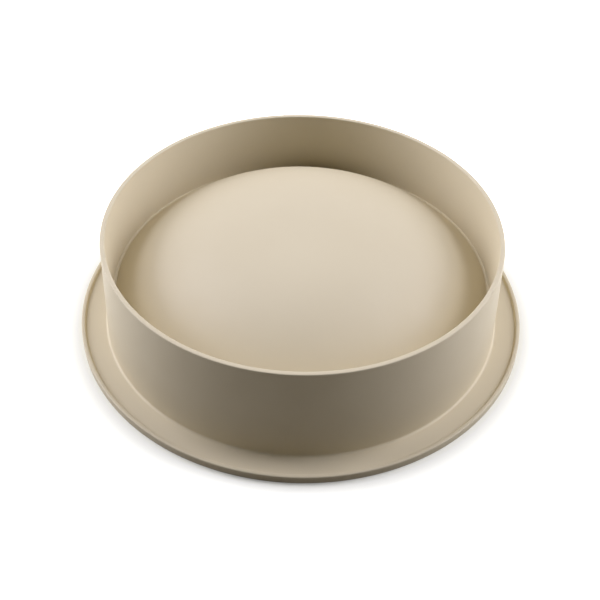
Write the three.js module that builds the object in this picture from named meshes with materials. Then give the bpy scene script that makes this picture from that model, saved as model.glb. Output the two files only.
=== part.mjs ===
// Round silicone cake mould with a drop-shaped cavity, as it lies upside down on its flange.
// Every piece is a revolve about the mould's axis, and all of them belong to one moulding:
// they meet face to face along the lines where the shape changes.
// Millimetres, +Z up. The origin is on the axis, in the plane of the flange's flat face.
import * as THREE from "three";

// Cavity: a short straight side that blends into a drop-shaped dome
const mouthRadius = 90; // a cake 180 mm across
const mouthRound = 0.6;
const sideDraft = 1; // degrees, the side leans in away from the mouth
const domeRise = 27.8; // apex of the dome above the valley floor, outside
const domePower = 3.2; // 2 is a paraboloid, and more makes the crown flatter and the flank rounder
const domeWall = 2.4;
const cavityBlend = 8; // radius between the side and the dome, inside

// Skirt: the round stand that carries the dome clear of the shelf when the mould is turned over
const totalHeight = 51;
const sideWall = 2.55; // silicone between the cavity's mouth and the skirt's outer face
const skirtDraft = 1.75; // degrees, the outer face leans in towards the rim
const rimLand = 2.15; // width of the rim that the mould stands on in use
const rimRound = 0.5;
const wellDraft = 1.25; // degrees, the inner face leans in towards the valley

// Valley: the narrow floor between the skirt and the dome
const valleyHeight = 19.2;
const valleyWidth = 1.1;
const valleyRound = 0.25;

// Flange: the grip round the mouth, with a raised bead along its edge
const flangeReach = 14.7; // from the cavity's mouth to the outer edge
const flangeThickness = 2.4;
const footRound = 1.1; // fillet between the flange and the skirt
const beadWidth = 1.95;
const beadHeight = 3.8; // above the flange's flat face
const beadTopRound = 0.6;
const beadEdgeRound = 0.25;
const beadFootRound = 0.5;

// Facets
const aroundSteps = 72;
const arcSteps = 3;
const domeSteps = 12;

// Radii that follow from the sizes, those of leaning faces by height
const lean = (degrees) => Math.tan(THREE.MathUtils.degToRad(degrees));
const outerRadius = (height) => mouthRadius + sideWall - height * lean(skirtDraft);
const sideRadius = (height) => mouthRadius - height * lean(sideDraft);
const rimInnerRadius = outerRadius(totalHeight) - rimLand;
const wellRadius = (height) => rimInnerRadius - (totalHeight - height) * lean(wellDraft);
const domeRadius = wellRadius(valleyHeight) - valleyWidth;
const flangeRadius = mouthRadius + flangeReach;
const beadInnerRadius = flangeRadius - beadWidth;

// A point of an outline: radius from the axis, height above the flange's flat face
const point = (radius, height) => new THREE.Vector2(radius, height);

// The arc that rounds a corner between two straight runs. It takes less than half of either run,
// so that neighbouring arcs never meet.
function corner(before, at, after, radius) {
  const back = before.clone().sub(at);
  const ahead = after.clone().sub(at);
  const longest = 0.45 * Math.min(back.length(), ahead.length());
  back.normalize();
  ahead.normalize();
  const half = Math.acos(back.dot(ahead)) / 2;
  const run = Math.min(radius / Math.tan(half), longest);
  const start = at.clone().addScaledVector(back, run);
  const end = at.clone().addScaledVector(ahead, run);
  const centre = at.clone().add(back.clone().add(ahead).setLength(run / Math.cos(half)));
  const from = start.clone().sub(centre);
  const sweep = Math.atan2(from.cross(end.sub(centre)), from.dot(end));
  return Array.from({ length: arcSteps + 1 }, (_, step) =>
    start.clone().rotateAround(centre, (sweep * step) / arcSteps)
  );
}

// Steepness of the dome's outer face at a share of its radius
const domeFall = (share) => ((domePower * domeRise) / domeRadius) * share ** (domePower - 1);

// A point of the dome's section, at a depth under its outer face along the normal
function domePoint(share, depth) {
  const height = valleyHeight + domeRise * (1 - share ** domePower);
  const normal = point(domeFall(share), 1).normalize();
  return point(domeRadius * share, height).addScaledVector(normal, -depth);
}

// The same silicone for every piece
const silicone = () => new THREE.MeshStandardMaterial({ color: 0xcdbfa4, roughness: 0.55, metalness: 0 });

// A piece of the moulding: its section turned once about the axis
function revolve(name, section) {
  const closed = section[0].x > 0;
  const profile = closed ? [...section, section[0]] : section;
  const geometry = new THREE.LatheGeometry(profile, aroundSteps).rotateX(Math.PI / 2);
  const mesh = new THREE.Mesh(geometry, silicone());
  mesh.name = name;
  return mesh;
}

// Corners that two or more pieces share
const mouth = point(mouthRadius, 0);
const flangeTopInner = point(sideRadius(flangeThickness), flangeThickness);
const beadFoot = point(beadInnerRadius, flangeThickness);
const skirtFoot = point(outerRadius(flangeThickness), flangeThickness);
const skirtSeat = point(outerRadius(valleyHeight), valleyHeight);
const wellFoot = point(wellRadius(valleyHeight), valleyHeight);
const domeFoot = domePoint(1, 0);
const domeInnerFoot = domePoint(1, domeWall);

// Inside, the dome runs on at the slope of its foot until it meets the cavity's side
const footFall = domeFall(1);
const kneeDrop = footFall * (mouthRadius - domeInnerFoot.x);
const kneeHeight = (domeInnerFoot.y - kneeDrop) / (1 - footFall * lean(sideDraft));
const knee = point(sideRadius(kneeHeight), kneeHeight);
const blend = corner(flangeTopInner, knee, domeInnerFoot, cavityBlend);
const sideTop = blend[0];
const sideTopOuter = point(outerRadius(sideTop.y), sideTop.y);

// Flange: a flat ring with a softened edge at the cavity's mouth
const flange = revolve("flange", [
  ...corner(flangeTopInner, mouth, point(beadInnerRadius, 0), mouthRound),
  point(beadInnerRadius, 0),
  beadFoot,
  flangeTopInner,
]);

// Bead: a raised, rounded edge that stiffens the flange
const beadBottomInner = point(beadInnerRadius, 0);
const beadBottomOuter = point(flangeRadius, 0);
const beadTopOuter = point(flangeRadius, beadHeight);
const beadTopInner = point(beadInnerRadius, beadHeight);
const flangeBead = revolve("flange_edge_bead", [
  beadBottomInner,
  ...corner(beadBottomInner, beadBottomOuter, beadTopOuter, beadEdgeRound),
  ...corner(beadBottomOuter, beadTopOuter, beadTopInner, beadTopRound),
  ...corner(beadTopOuter, beadTopInner, beadFoot, beadTopRound),
  ...corner(beadTopInner, beadFoot, skirtFoot, beadFootRound),
  beadFoot,
]);

// Side wall: the straight lower part of the cavity, with the fillet at the skirt's foot outside
const sideWallRing = revolve("cavity_side_wall", [
  flangeTopInner,
  ...corner(beadFoot, skirtFoot, sideTopOuter, footRound),
  sideTopOuter,
  sideTop,
]);

// Shoulder: the knot where the side wall, the skirt and the dome meet, under the valley's floor
const shoulder = revolve("cavity_shoulder", [
  sideTop,
  sideTopOuter,
  skirtSeat,
  domeFoot,
  domeInnerFoot,
  ...blend.slice(1).reverse(),
]);

// Skirt: a leaning wall with a flat rim, and a small fillet down to the valley's floor
const rimOuter = point(outerRadius(totalHeight), totalHeight);
const rimInner = point(rimInnerRadius, totalHeight);
const skirt = revolve("standing_skirt", [
  skirtSeat,
  ...corner(skirtSeat, rimOuter, rimInner, rimRound),
  ...corner(rimOuter, rimInner, wellFoot, rimRound),
  ...corner(rimInner, wellFoot, domeFoot, valleyRound),
]);

// Dome: a drop-shaped shell of even thickness, from the apex inside to the foot and back outside
const shares = Array.from({ length: domeSteps + 1 }, (_, step) => step / domeSteps);
const dome = revolve("cavity_dome", [
  ...shares.map((share) => domePoint(share, domeWall)),
  ...shares.map((share) => domePoint(share, 0)).reverse(),
]);

const mould = new THREE.Group();
mould.name = "cake_mould";
mould.add(flange, flangeBead, sideWallRing, shoulder, skirt, dome);

export default mould;
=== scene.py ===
import math

import bpy
import numpy as np
from bpy.props import FloatProperty, FloatVectorProperty, IntProperty, PointerProperty
from mathutils import Matrix, Vector


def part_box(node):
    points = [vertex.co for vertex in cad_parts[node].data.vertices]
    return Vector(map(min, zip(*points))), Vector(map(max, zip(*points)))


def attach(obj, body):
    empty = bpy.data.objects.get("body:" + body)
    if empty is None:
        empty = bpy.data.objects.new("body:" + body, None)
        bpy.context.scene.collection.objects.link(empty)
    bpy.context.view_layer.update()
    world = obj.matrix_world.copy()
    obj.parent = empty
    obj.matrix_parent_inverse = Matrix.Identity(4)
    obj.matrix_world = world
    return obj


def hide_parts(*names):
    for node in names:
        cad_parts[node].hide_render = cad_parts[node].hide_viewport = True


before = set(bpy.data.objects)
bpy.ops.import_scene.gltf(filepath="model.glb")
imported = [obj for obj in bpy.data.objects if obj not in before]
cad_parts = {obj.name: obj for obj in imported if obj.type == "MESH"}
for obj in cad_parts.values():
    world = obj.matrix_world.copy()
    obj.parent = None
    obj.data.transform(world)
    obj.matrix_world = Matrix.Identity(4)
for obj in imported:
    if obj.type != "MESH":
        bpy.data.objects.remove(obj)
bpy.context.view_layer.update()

bl_info = {
    "name": "Silicone Cake Mould",
    "version": (1, 0, 0),
    "blender": (4, 5, 0),
    "location": "View3D > Sidebar > Cake Mould",
    "description": "Round silicone cake mould with a drop-shaped cavity, lying upside down on its flange",
    "category": "Object",
}

MM = 0.001
BODY = "root"
CREASE = math.radians(30)
ON_AXIS = 1e-9
LONGEST_ARC_RUN = 0.45


def linear(hex_code):
    """An sRGB hex colour as linear red, green and blue."""
    srgb = np.array([int(hex_code[i:i + 2], 16) for i in (1, 3, 5)]) / 255
    return tuple(np.where(srgb <= 0.04045, srgb / 12.92, ((srgb + 0.055) / 1.055) ** 2.4))


def length(name, description, default):
    """A size in metres that a user may change."""
    return FloatProperty(name=name, description=description, default=default, min=0, unit="LENGTH")


def lean(name, description, degrees):
    """The angle at which a wall leans, in radians."""
    return FloatProperty(name=name, description=description, default=math.radians(degrees), subtype="ANGLE")


class MouldSizes(bpy.types.PropertyGroup):
    """Sizes of the mould. Heights are above the flange's flat face, which lies on the table."""

    mouth_radius: length("Mouth radius", "Radius of the cavity's mouth", 90 * MM)
    mouth_round: length("Mouth edge", "Rounding of the edge of the mouth", 0.6 * MM)
    side_draft: lean("Side draft", "How far the cavity's side leans in", 1)
    dome_rise: length("Dome rise", "Apex of the dome above the valley, outside",
                      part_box("cavity_dome")[1].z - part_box("standing_skirt")[0].z)
    dome_power: FloatProperty(name="Dome power", description="Flatness of the crown: 2 is a paraboloid",
                              default=3.2, min=2, max=8)
    dome_wall: length("Dome wall", "Thickness of the dome", 2.4 * MM)
    cavity_blend: length("Cavity blend", "Radius between the cavity's side and dome", 8 * MM)
    total_height: length("Height", "Height of the rim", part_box("standing_skirt")[1].z)
    side_wall: length("Side wall", "Silicone between the mouth and the skirt's outer face", 2.55 * MM)
    skirt_draft: lean("Skirt draft", "How far the skirt's outer face leans in", 1.75)
    rim_land: length("Rim land", "Width of the rim", 2.15 * MM)
    rim_round: length("Rim edge", "Rounding of the rim's edges", 0.5 * MM)
    well_draft: lean("Well draft", "How far the skirt's inner face leans in", 1.25)
    valley_height: length("Valley height", "Floor between skirt and dome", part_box("standing_skirt")[0].z)
    valley_width: length("Valley width", "Width of that floor", 1.1 * MM)
    valley_round: length("Valley fillet", "Fillet between that floor and the skirt", 0.25 * MM)
    flange_radius: length("Flange radius", "Outer radius of the flange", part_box("flange_edge_bead")[1].x)
    flange_thickness: length("Flange thickness", "Thickness of the flange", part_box("flange")[1].z)
    foot_round: length("Foot fillet", "Fillet between flange and skirt", 1.1 * MM)
    bead_width: length("Bead width", "Width of the raised edge", 1.95 * MM)
    bead_height: length("Bead height", "Height of the raised edge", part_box("flange_edge_bead")[1].z)
    bead_top_round: length("Bead top", "Rounding of the raised edge's top", 0.6 * MM)
    bead_edge_round: length("Bead underside", "Rounding of the raised edge's underside", 0.25 * MM)
    bead_foot_round: length("Bead fillet", "Fillet at the raised edge's foot", 0.5 * MM)
    around: IntProperty(name="Steps around", description="Grid steps about the axis", default=360, min=36)
    arc: IntProperty(name="Steps in an arc", description="Grid steps in a rounded corner", default=10, min=2)
    run: IntProperty(name="Steps along the dome", description="Grid steps from apex to foot", default=72, min=8)


class MouldFinish(bpy.types.PropertyGroup):
    """Colours of the silicone and of the stage."""

    silicone: FloatVectorProperty(name="Silicone", description="Body colour", subtype="COLOR",
                                  default=linear("#d8cdaf"), min=0, max=1)
    silicone_cloud: FloatVectorProperty(name="Cloud", description="Slightly darker patches in the body colour",
                                        subtype="COLOR", default=linear("#d4c8a9"), min=0, max=1)
    floor: FloatVectorProperty(name="Floor", description="Floor as the camera sees it, before its glow",
                               subtype="COLOR", default=linear("#e8e8da"), min=0, max=1)
    table: FloatVectorProperty(name="Table", description="Table top under the floor, for light that bounces",
                               subtype="COLOR", default=linear("#8f877b"), min=0, max=1)


class Section:
    """Corners and outlines of the mould's section, each point a radius and a height in metres."""

    def __init__(self, s):
        self.s = s
        self.dome_radius = self.well(s.valley_height) - s.valley_width
        self.bead_inner = s.flange_radius - s.bead_width
        self.mouth = self.at(s.mouth_radius, 0)
        self.flange_top_inner = self.at(self.side(s.flange_thickness), s.flange_thickness)
        self.bead_foot = self.at(self.bead_inner, s.flange_thickness)
        self.skirt_foot = self.at(self.outer(s.flange_thickness), s.flange_thickness)
        self.skirt_seat = self.at(self.outer(s.valley_height), s.valley_height)
        self.well_foot = self.at(self.well(s.valley_height), s.valley_height)
        self.dome_foot = self.dome(np.ones(1), 0)[0]
        self.dome_inner_foot = self.dome(np.ones(1), s.dome_wall)[0]
        fall = s.dome_power * s.dome_rise / self.dome_radius
        drop = fall * (s.mouth_radius - self.dome_inner_foot[0])
        knee = (self.dome_inner_foot[1] - drop) / (1 - fall * math.tan(s.side_draft))
        self.blend = self.corner(self.flange_top_inner, self.at(self.side(knee), knee), self.dome_inner_foot,
                                 s.cavity_blend)
        self.side_top = self.blend[0]
        self.side_top_outer = self.at(self.outer(self.side_top[1]), self.side_top[1])

    @staticmethod
    def at(radius, height):
        """A point of the section."""
        return np.array((radius, height))

    def outer(self, height):
        """Radius of the skirt's outer face."""
        return self.s.mouth_radius + self.s.side_wall - height * math.tan(self.s.skirt_draft)

    def side(self, height):
        """Radius of the cavity's side."""
        return self.s.mouth_radius - height * math.tan(self.s.side_draft)

    def well(self, height):
        """Radius of the skirt's inner face."""
        rim = self.outer(self.s.total_height) - self.s.rim_land
        return rim - (self.s.total_height - height) * math.tan(self.s.well_draft)

    def dome(self, share, depth):
        """Dome: height falls from the apex as a power of the radius; depth is taken along the normal."""
        s = self.s
        height = s.valley_height + s.dome_rise * (1 - share ** s.dome_power)
        fall = s.dome_power * s.dome_rise / self.dome_radius * share ** (s.dome_power - 1)
        normal = np.stack((fall, np.ones_like(fall)), 1) / np.hypot(fall, 1)[:, None]
        return np.stack((self.dome_radius * share, height), 1) - depth * normal

    def corner(self, before, at, after, radius):
        """Arc tangent to the two runs that meet at a corner, shorter than half of either run."""
        back, ahead = before - at, after - at
        longest = LONGEST_ARC_RUN * min(np.linalg.norm(back), np.linalg.norm(ahead))
        back, ahead = back / np.linalg.norm(back), ahead / np.linalg.norm(ahead)
        half = math.acos(np.clip(back @ ahead, -1, 1)) / 2
        run = min(radius / math.tan(half), longest)
        middle = back + ahead
        centre = at + middle / np.linalg.norm(middle) * run / math.cos(half)
        start, end = at + back * run - centre, at + ahead * run - centre
        sweep = math.atan2(start[0] * end[1] - start[1] * end[0], start @ end)
        turn = np.linspace(0, sweep, self.s.arc + 1)
        spin = np.array(((np.cos(turn), -np.sin(turn)), (np.sin(turn), np.cos(turn))))
        return centre + np.einsum("ijk,j->ki", spin, start)


def revolve(name, section, steps):
    """A closed section turned about the axis: x = r cos t, y = r sin t, z = height.

    A section that starts and ends on the axis closes there in a fan of triangles at each pole.
    Edges where the section turns by more than 30 degrees are creases, and the rest is smooth."""
    t = np.linspace(0, 2 * np.pi, steps, endpoint=False)
    polar = section[0, 0] < ON_AXIS
    rings = section[1:-1] if polar else section
    count = len(rings)
    grid = np.empty((count, steps, 3))
    grid[..., 0] = rings[:, :1] * np.cos(t)
    grid[..., 1] = rings[:, :1] * np.sin(t)
    grid[..., 2] = rings[:, 1:]
    index = np.arange(count * steps).reshape(count, steps)
    ahead = np.roll(index, -1, axis=1)
    last = count - 1 if polar else count
    above = np.roll(index, -1, axis=0)[:last]
    quads = np.stack((index[:last], ahead[:last], np.roll(above, -1, axis=1), above), -1).reshape(-1, 4)
    points, faces = grid.reshape(-1, 3), quads.tolist()
    if polar:
        poles = np.array(((0, 0, section[0, 1]), (0, 0, section[-1, 1])))
        points = np.vstack((points, poles))
        first, final = np.full(steps, count * steps), np.full(steps, count * steps + 1)
        faces += np.stack((first, ahead[0], index[0]), 1).tolist()
        faces += np.stack((final, index[-1], ahead[-1]), 1).tolist()
    mesh = bpy.data.meshes.new(name)
    mesh.from_pydata(points.tolist(), [], faces)
    mesh.shade_smooth()
    mesh.set_sharp_from_angle(angle=CREASE)
    mesh.update()
    piece = bpy.data.objects.new(name, mesh)
    bpy.context.scene.collection.objects.link(piece)
    return piece


def add(tree, kind, inputs=None, **settings):
    """Adds a node. Inputs go by name, or by number where names repeat, and take a value or a link."""
    made = tree.nodes.new(kind)
    for key, value in settings.items():
        setattr(made, key, value)
    for key, value in (inputs or {}).items():
        if isinstance(value, bpy.types.NodeSocket):
            tree.links.new(value, made.inputs[key])
        else:
            made.inputs[key].default_value = value
    return made


def empty_tree(owner):
    """The node tree of a new material or world, with no nodes in it."""
    owner.use_nodes = True
    owner.node_tree.nodes.clear()
    return owner.node_tree


def moulded_silicone(finish):
    """Silicone rubber, pressed in a blasted steel tool: opaque, even in colour, with a soft satin sheen.

    Pigment clouds about 35 mm across, a satin that varies over about 12 mm where it was handled,
    and the tool's grit. The grit is about 0.1 mm and is drawn at 0.9 mm, so that it shows."""
    made = bpy.data.materials.get("moulded_silicone")
    if made:
        return made
    made = bpy.data.materials.new("moulded_silicone")
    tree = empty_tree(made)
    where = add(tree, "ShaderNodeTexCoord").outputs["Object"]
    cloud = add(tree, "ShaderNodeTexNoise", {"Vector": where, "Scale": 1 / (35 * MM), "Detail": 3,
                                             "Roughness": 0.55})
    tone = add(tree, "ShaderNodeMix", {0: cloud.outputs["Fac"], 6: (*finish.silicone, 1),
                                       7: (*finish.silicone_cloud, 1)}, data_type="RGBA")
    handled = add(tree, "ShaderNodeTexNoise", {"Vector": where, "Scale": 1 / (12 * MM), "Detail": 4})
    satin = add(tree, "ShaderNodeMapRange", {"Value": handled.outputs["Fac"], "From Min": 0.3, "From Max": 0.7,
                                             "To Min": 0.5, "To Max": 0.6})
    grit = add(tree, "ShaderNodeTexNoise", {"Vector": where, "Scale": 1 / (0.9 * MM), "Detail": 2})
    relief = add(tree, "ShaderNodeBump", {"Height": grit.outputs["Fac"], "Strength": 0.12, "Distance": 0.05 * MM})
    shader = add(tree, "ShaderNodeBsdfPrincipled", {"Base Color": tone.outputs[2], "IOR": 1.41,
                                                    "Roughness": satin.outputs["Result"],
                                                    "Normal": relief.outputs["Normal"]})
    add(tree, "ShaderNodeOutputMaterial", {"Surface": shader.outputs["BSDF"]})
    return made


def make(context, name, node, *runs):
    """A piece of the moulding: the runs of its section turned about the axis, in place of a CAD node."""
    piece = revolve(name, np.vstack(runs), context.scene.mould_sizes.around)
    piece.data.materials.append(moulded_silicone(context.scene.mould_finish))
    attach(piece, BODY)
    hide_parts(node)
    return {"FINISHED"}


class MOULD_OT_flange(bpy.types.Operator):
    """Flat ring round the mouth, with a softened edge at the mouth"""

    bl_idname = "mould.flange"
    bl_label = "Flange"
    bl_options = {"REGISTER", "UNDO"}

    def execute(self, context):
        s = context.scene.mould_sizes
        k = Section(s)
        outer = k.at(k.bead_inner, 0)
        return make(context, "flange_ring", "flange",
                    k.corner(k.flange_top_inner, k.mouth, outer, s.mouth_round),
                    outer, k.bead_foot, k.flange_top_inner)


class MOULD_OT_bead(bpy.types.Operator):
    """Raised, rounded edge of the flange"""

    bl_idname = "mould.bead"
    bl_label = "Edge bead"
    bl_options = {"REGISTER", "UNDO"}

    def execute(self, context):
        s = context.scene.mould_sizes
        k = Section(s)
        inner, outer = k.at(k.bead_inner, 0), k.at(s.flange_radius, 0)
        top_outer, top_inner = k.at(s.flange_radius, s.bead_height), k.at(k.bead_inner, s.bead_height)
        return make(context, "edge_bead", "flange_edge_bead",
                    inner,
                    k.corner(inner, outer, top_outer, s.bead_edge_round),
                    k.corner(outer, top_outer, top_inner, s.bead_top_round),
                    k.corner(top_outer, top_inner, k.bead_foot, s.bead_top_round),
                    k.corner(top_inner, k.bead_foot, k.skirt_foot, s.bead_foot_round),
                    k.bead_foot)


class MOULD_OT_side_wall(bpy.types.Operator):
    """Straight lower part of the cavity, with the fillet at the skirt's foot outside"""

    bl_idname = "mould.side_wall"
    bl_label = "Side wall"
    bl_options = {"REGISTER", "UNDO"}

    def execute(self, context):
        s = context.scene.mould_sizes
        k = Section(s)
        return make(context, "side_wall", "cavity_side_wall",
                    k.flange_top_inner,
                    k.corner(k.bead_foot, k.skirt_foot, k.side_top_outer, s.foot_round),
                    k.side_top_outer, k.side_top)


class MOULD_OT_shoulder(bpy.types.Operator):
    """Knot of side wall, skirt and dome, under the valley's floor"""

    bl_idname = "mould.shoulder"
    bl_label = "Shoulder"
    bl_options = {"REGISTER", "UNDO"}

    def execute(self, context):
        k = Section(context.scene.mould_sizes)
        return make(context, "shoulder", "cavity_shoulder",
                    k.side_top, k.side_top_outer, k.skirt_seat, k.dome_foot, k.dome_inner_foot, k.blend[:0:-1])


class MOULD_OT_skirt(bpy.types.Operator):
    """Leaning wall with a flat rim, and a small fillet down to the valley"""

    bl_idname = "mould.skirt"
    bl_label = "Standing skirt"
    bl_options = {"REGISTER", "UNDO"}

    def execute(self, context):
        s = context.scene.mould_sizes
        k = Section(s)
        rim_outer = k.at(k.outer(s.total_height), s.total_height)
        rim_inner = k.at(k.well(s.total_height), s.total_height)
        return make(context, "skirt", "standing_skirt",
                    k.skirt_seat,
                    k.corner(k.skirt_seat, rim_outer, rim_inner, s.rim_round),
                    k.corner(rim_outer, rim_inner, k.well_foot, s.rim_round),
                    k.corner(rim_inner, k.well_foot, k.dome_foot, s.valley_round))


class MOULD_OT_dome(bpy.types.Operator):
    """Drop-shaped shell of even thickness"""

    bl_idname = "mould.dome"
    bl_label = "Dome"
    bl_options = {"REGISTER", "UNDO"}

    def execute(self, context):
        s = context.scene.mould_sizes
        k = Section(s)
        share = np.linspace(0, 1, s.run + 1)
        return make(context, "dome", "cavity_dome", k.dome(share, s.dome_wall), k.dome(share, 0)[::-1])


# Studio: soft boxes by azimuth (0 is behind, 90 on the right), elevation, distance, width, height, power
TARGET = Vector((0, 0, 0.025))
SOFT_BOXES = {
    "left_box": (-72, 20, 1.2, 0.95, 0.85, 13.8),
    "left_high_box": (-60, 52, 1.2, 0.5, 0.4, 5.8),
    "right_box": (77, 20, 1.2, 0.95, 0.85, 12.4),
    "right_high_box": (74, 52, 1.2, 0.5, 0.4, 5.8),
    "front_fill": (180, 24, 1.2, 0.6, 0.4, 0.28),
}
DAYLIGHT = linear("#f2f1ff")

# Floor: its glow beside the flange, dim there to paint shade round the flange over the real contact shadow,
# and the distances from the axis where it starts to rise and is white, painting light over the wider cast shadow
FLOOR_GLOW = 0.2
GLOW_START, GLOW_FULL = 0.1055, 0.1205
FLOOR_HALF = 4.0
FLOOR_DROP = 0.05 * MM

# Camera: place and lens, fitted to the mould's outlines
CAMERA_DISTANCE = 0.5126
CAMERA_ELEVATION = math.radians(43.794)
CAMERA_PAN = math.radians(0.061)
CAMERA_TILT = math.radians(0.442)
CAMERA_ROLL = math.radians(1.27)
CAMERA_LENS = 63.34
CAMERA_SENSOR = 36
CAMERA_CLIP = 0.01, 50


def seen(tree):
    """One for the rays that show a background: from the camera, off a gloss or through glass."""
    path = add(tree, "ShaderNodeLightPath").outputs
    either = add(tree, "ShaderNodeMath", {0: path["Is Camera Ray"], 1: path["Is Glossy Ray"]},
                 operation="MAXIMUM")
    return add(tree, "ShaderNodeMath", {0: either.outputs[0], 1: path["Is Transmission Ray"]},
               operation="MAXIMUM").outputs[0]


def studio_floor(finish):
    """Plain pale floor. The camera sees it lifted to white by a glow of its own.

    The glow grows with the distance from the mould. Next to the flange it is dim, so the real contact
    shadow shows there with painted shade added. About 15 mm out it is full, which covers the lamps' wider
    cast shadow with painted light, and the floor runs out into the white backdrop.
    Light that bounces meets a darker, warmer table top, so that little of it comes up from below."""
    made = bpy.data.materials.new("studio_floor")
    tree = empty_tree(made)
    table = add(tree, "ShaderNodeBsdfDiffuse", {"Color": (*finish.table, 1)})
    pale = add(tree, "ShaderNodeBsdfDiffuse", {"Color": (*finish.floor, 1)})
    where = add(tree, "ShaderNodeTexCoord").outputs["Object"]
    away = add(tree, "ShaderNodeVectorMath", {0: where}, operation="LENGTH").outputs["Value"]
    # Painted shade and light: a dim glow by the flange darkens the floor round it, and a full glow farther out
    # hides the cast shadow
    painted_shade_ramp = add(tree, "ShaderNodeMapRange", {"Value": away, "From Min": GLOW_START, "From Max": GLOW_FULL,
                                            "To Min": FLOOR_GLOW})
    glow = add(tree, "ShaderNodeEmission", {"Strength": painted_shade_ramp.outputs["Result"]})
    white = add(tree, "ShaderNodeAddShader", {0: pale.outputs[0], 1: glow.outputs[0]})
    floor = add(tree, "ShaderNodeMixShader", {0: seen(tree), 1: table.outputs[0], 2: white.outputs[0]})
    add(tree, "ShaderNodeOutputMaterial", {"Surface": floor.outputs[0]})
    return made


class MOULD_OT_stage(bpy.types.Operator):
    """Pale floor, soft boxes and the camera"""

    bl_idname = "mould.stage"
    bl_label = "Stage"
    bl_options = {"REGISTER", "UNDO"}

    def execute(self, context):
        scene = context.scene
        corners = np.array(((-1, -1, 0), (1, -1, 0), (1, 1, 0), (-1, 1, 0))) * FLOOR_HALF
        corners[:, 2] = -FLOOR_DROP
        mesh = bpy.data.meshes.new("floor")
        mesh.from_pydata(corners.tolist(), [], [(0, 1, 2, 3)])
        mesh.materials.append(studio_floor(scene.mould_finish))
        floor = bpy.data.objects.new("floor", mesh)
        scene.collection.objects.link(floor)
        for name, (azimuth, elevation, distance, width, height, power) in SOFT_BOXES.items():
            a, e = math.radians(azimuth), math.radians(elevation)
            away = Vector((math.sin(a) * math.cos(e), math.cos(a) * math.cos(e), math.sin(e)))
            lamp = bpy.data.lights.new(name, "AREA")
            lamp.shape, lamp.size, lamp.size_y, lamp.energy = "RECTANGLE", width, height, power
            lamp.color = DAYLIGHT
            box = bpy.data.objects.new(name, lamp)
            box.location = TARGET + away * distance
            box.rotation_euler = away.to_track_quat("Z", "Y").to_euler()
            box.visible_camera = False
            scene.collection.objects.link(box)
        scene.world = bpy.data.worlds.new("studio")
        tree = empty_tree(scene.world)
        white = add(tree, "ShaderNodeBackground", {"Color": (1, 1, 1, 1), "Strength": seen(tree)})
        add(tree, "ShaderNodeOutputWorld", {"Surface": white.outputs[0]})
        eye = bpy.data.cameras.new("camera")
        eye.lens, eye.sensor_width = CAMERA_LENS, CAMERA_SENSOR
        eye.clip_start, eye.clip_end = CAMERA_CLIP
        camera = bpy.data.objects.new("camera", eye)
        back = Vector((0, -math.cos(CAMERA_ELEVATION), math.sin(CAMERA_ELEVATION)))
        turn = (Matrix.Rotation(math.pi / 2 - CAMERA_ELEVATION, 4, "X") @ Matrix.Rotation(CAMERA_PAN, 4, "Y")
                @ Matrix.Rotation(CAMERA_TILT, 4, "X") @ Matrix.Rotation(CAMERA_ROLL, 4, "Z"))
        camera.matrix_world = Matrix.Translation(back * CAMERA_DISTANCE) @ turn
        scene.collection.objects.link(camera)
        scene.camera = camera
        scene.view_settings.view_transform = "Standard"
        return {"FINISHED"}


class VIEW3D_PT_cake_mould(bpy.types.Panel):
    """Sidebar panel with the mould's sizes, finish and pieces"""

    bl_label = "Cake Mould"
    bl_space_type = "VIEW_3D"
    bl_region_type = "UI"
    bl_category = "Cake Mould"

    def draw(self, context):
        for group in (context.scene.mould_sizes, context.scene.mould_finish):
            box = self.layout.box()
            for key in group.__annotations__:
                box.prop(group, key)
        for operator in OPERATORS:
            self.layout.operator(operator.bl_idname)


OPERATORS = (
    MOULD_OT_stage,
    MOULD_OT_flange,
    MOULD_OT_bead,
    MOULD_OT_side_wall,
    MOULD_OT_shoulder,
    MOULD_OT_skirt,
    MOULD_OT_dome,
)
CLASSES = (MouldSizes, MouldFinish, *OPERATORS, VIEW3D_PT_cake_mould)


def register():
    """Adds the classes, and the sizes and the finish to the scene."""
    for cls in CLASSES:
        bpy.utils.register_class(cls)
    bpy.types.Scene.mould_sizes = PointerProperty(type=MouldSizes)
    bpy.types.Scene.mould_finish = PointerProperty(type=MouldFinish)


def unregister():
    """Takes away what register added."""
    del bpy.types.Scene.mould_finish
    del bpy.types.Scene.mould_sizes
    for cls in reversed(CLASSES):
        bpy.utils.unregister_class(cls)


def main():
    """Makes the stage and every piece."""
    register()
    bpy.ops.mould.stage()
    bpy.ops.mould.flange()
    bpy.ops.mould.bead()
    bpy.ops.mould.side_wall()
    bpy.ops.mould.shoulder()
    bpy.ops.mould.skirt()
    bpy.ops.mould.dome()
    bpy.context.view_layer.update()


if __name__ == "__main__":
    main()
